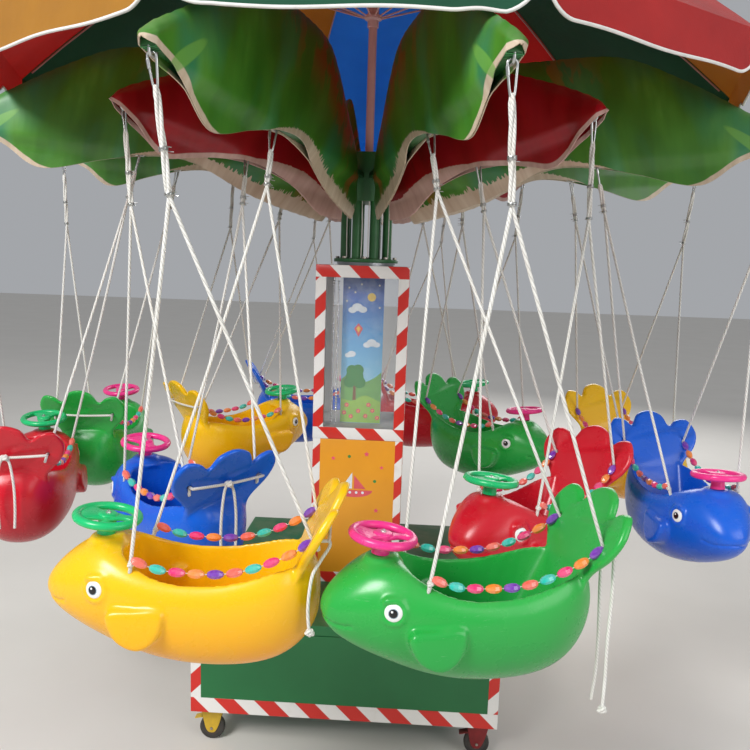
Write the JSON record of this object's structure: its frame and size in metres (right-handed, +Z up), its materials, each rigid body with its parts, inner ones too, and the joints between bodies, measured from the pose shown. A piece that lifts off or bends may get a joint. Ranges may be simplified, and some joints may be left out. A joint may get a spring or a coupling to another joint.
{
  "type": "mobile chair swing ride with dolphin seats",
  "caption": "Small chair swing ride: a cabinet on casters with a square column carries a turning crown of palm-leaf arms, roped dolphin seats and a beach umbrella.",
  "frame": {"origin": "on the ground, on the crown's turning axis, under the middle of the square cabinet", "axes": "+Z up along the turning axis, -Y to the front face of the cabinet that the picture shows, +X to that view's right"},
  "size_m": [2.9968, 2.9968, 3.22],
  "materials": {
    "seat_yellow": "glossy moulded plastic",
    "seat_green": "glossy moulded plastic",
    "seat_red": "glossy moulded plastic",
    "seat_blue": "glossy moulded plastic",
    "wheel_green": "glossy moulded plastic",
    "wheel_pink": "glossy moulded plastic",
    "rope": "braided white cord, slightly grey",
    "leaf_green": "painted leaf shell with brown streaks and a cream hem",
    "leaf_red": "painted leaf shell with a pinkish cream hem",
    "umbrella_cloth": "umbrella cloth in panels of green, red, yellow and blue",
    "mast_paint": "pinkish grey tube and thin ribs",
    "crown_paint": "dark green paint",
    "cabinet_paint": "dark green paint with red and white striped tape on the edges",
    "housing_paint": "orange yellow paint with red and white striped tape on the edges",
    "window_frame_finish": "frame covered by red and white striped tape",
    "display_print": "printed board with a plain sky and meadow design",
    "drive_post_steel": "dull steel tube",
    "underframe": "dark painted rails, one yellow and one red caster fork, black tyres"
  },
  "bodies": {
    "base": {"underframe_and_casters": "underframe", "base_cabinet": "cabinet_paint", "column_housing": "housing_paint", "window_frame": "window_frame_finish", "drive_post": "drive_post_steel", "display_board": "display_print"},
    "crown": {"crown_frame": "crown_paint", "umbrella_mast": "mast_paint", "umbrella_canopy": "umbrella_cloth", "leaf_01": "leaf_green", "leaf_02": "leaf_green", "leaf_03": "leaf_red", "leaf_04": "leaf_green", "leaf_05": "leaf_green", "leaf_06": "leaf_red", "leaf_07": "leaf_green", "leaf_08": "leaf_green", "leaf_09": "leaf_red", "leaf_10": "leaf_green", "leaf_11": "leaf_green", "leaf_12": "leaf_red"},
    "seat_01": {"seat_01_shell": "seat_yellow", "seat_01_wheel": "wheel_green", "seat_01_ropes": "rope", "rope_end_yellow": "rope"},
    "seat_02": {"seat_02_shell": "seat_green", "seat_02_wheel": "wheel_pink", "seat_02_ropes": "rope", "rope_end_green_plain": "rope", "rope_end_green_knotted": "rope"},
    "seat_03": {"seat_03_shell": "seat_red", "seat_03_wheel": "wheel_green", "seat_03_ropes": "rope"},
    "seat_04": {"seat_04_shell": "seat_blue", "seat_04_wheel": "wheel_pink", "seat_04_ropes": "rope"},
    "seat_05": {"seat_05_shell": "seat_yellow", "seat_05_wheel": "wheel_green", "seat_05_ropes": "rope"},
    "seat_06": {"seat_06_shell": "seat_green", "seat_06_wheel": "wheel_pink", "seat_06_ropes": "rope"},
    "seat_07": {"seat_07_shell": "seat_red", "seat_07_wheel": "wheel_green", "seat_07_ropes": "rope"},
    "seat_08": {"seat_08_shell": "seat_blue", "seat_08_wheel": "wheel_pink", "seat_08_ropes": "rope"},
    "seat_09": {"seat_09_shell": "seat_yellow", "seat_09_wheel": "wheel_green", "seat_09_ropes": "rope"},
    "seat_10": {"seat_10_shell": "seat_green", "seat_10_wheel": "wheel_pink", "seat_10_ropes": "rope"},
    "seat_11": {"seat_11_shell": "seat_red", "seat_11_wheel": "wheel_green", "seat_11_ropes": "rope"},
    "seat_12": {"seat_12_shell": "seat_blue", "seat_12_wheel": "wheel_pink", "seat_12_ropes": "rope"}
  },
  "joints": [
    {"name": "crown_turn", "type": "hinge", "parent": "base", "child": "crown", "pos_m": [0, 0, 1.8293], "axis": [0, 0, 1], "continuous": true},
    {"name": "seat_01_swing", "type": "hinge", "parent": "crown", "child": "seat_01", "pos_m": [-0.23112, -0.86257, 2.205], "axis": [-0.2579, -0.9627, 0.0821], "range_deg": [-8, 8]},
    {"name": "seat_02_swing", "type": "hinge", "parent": "crown", "child": "seat_02", "pos_m": [0.23112, -0.86257, 2.205], "axis": [0.2579, -0.9627, 0.0821], "range_deg": [-8, 8]},
    {"name": "seat_03_swing", "type": "hinge", "parent": "crown", "child": "seat_03", "pos_m": [0.40941, -0.40941, 2.181], "axis": [0.6916, -0.6916, 0.2082], "range_deg": [-8, 8]},
    {"name": "seat_04_swing", "type": "hinge", "parent": "crown", "child": "seat_04", "pos_m": [0.86257, -0.23112, 2.205], "axis": [0.9627, -0.2579, 0.0821], "range_deg": [-8, 8]},
    {"name": "seat_05_swing", "type": "hinge", "parent": "crown", "child": "seat_05", "pos_m": [0.86257, 0.23112, 2.205], "axis": [0.9627, 0.2579, 0.0821], "range_deg": [-8, 8]},
    {"name": "seat_06_swing", "type": "hinge", "parent": "crown", "child": "seat_06", "pos_m": [0.40941, 0.40941, 2.181], "axis": [0.6916, 0.6916, 0.2082], "range_deg": [-8, 8]},
    {"name": "seat_07_swing", "type": "hinge", "parent": "crown", "child": "seat_07", "pos_m": [0.23112, 0.86257, 2.205], "axis": [0.2579, 0.9627, 0.0821], "range_deg": [-8, 8]},
    {"name": "seat_08_swing", "type": "hinge", "parent": "crown", "child": "seat_08", "pos_m": [-0.23112, 0.86257, 2.205], "axis": [-0.2579, 0.9627, 0.0821], "range_deg": [-8, 8]},
    {"name": "seat_09_swing", "type": "hinge", "parent": "crown", "child": "seat_09", "pos_m": [-0.40941, 0.40941, 2.181], "axis": [-0.6916, 0.6916, 0.2082], "range_deg": [-8, 8]},
    {"name": "seat_10_swing", "type": "hinge", "parent": "crown", "child": "seat_10", "pos_m": [-0.86257, 0.23112, 2.205], "axis": [-0.9627, 0.2579, 0.0821], "range_deg": [-8, 8]},
    {"name": "seat_11_swing", "type": "hinge", "parent": "crown", "child": "seat_11", "pos_m": [-0.86257, -0.23112, 2.205], "axis": [-0.9627, -0.2579, 0.0821], "range_deg": [-8, 8]},
    {"name": "seat_12_swing", "type": "hinge", "parent": "crown", "child": "seat_12", "pos_m": [-0.40941, -0.40941, 2.181], "axis": [-0.6916, -0.6916, 0.2082], "range_deg": [-8, 8]}
  ],
  "couplings": [
    {"joint": "seat_02_swing", "follows": "seat_01_swing", "ratio": 1},
    {"joint": "seat_05_swing", "follows": "seat_04_swing", "ratio": 1},
    {"joint": "seat_08_swing", "follows": "seat_07_swing", "ratio": 1},
    {"joint": "seat_11_swing", "follows": "seat_10_swing", "ratio": 1}
  ]
}
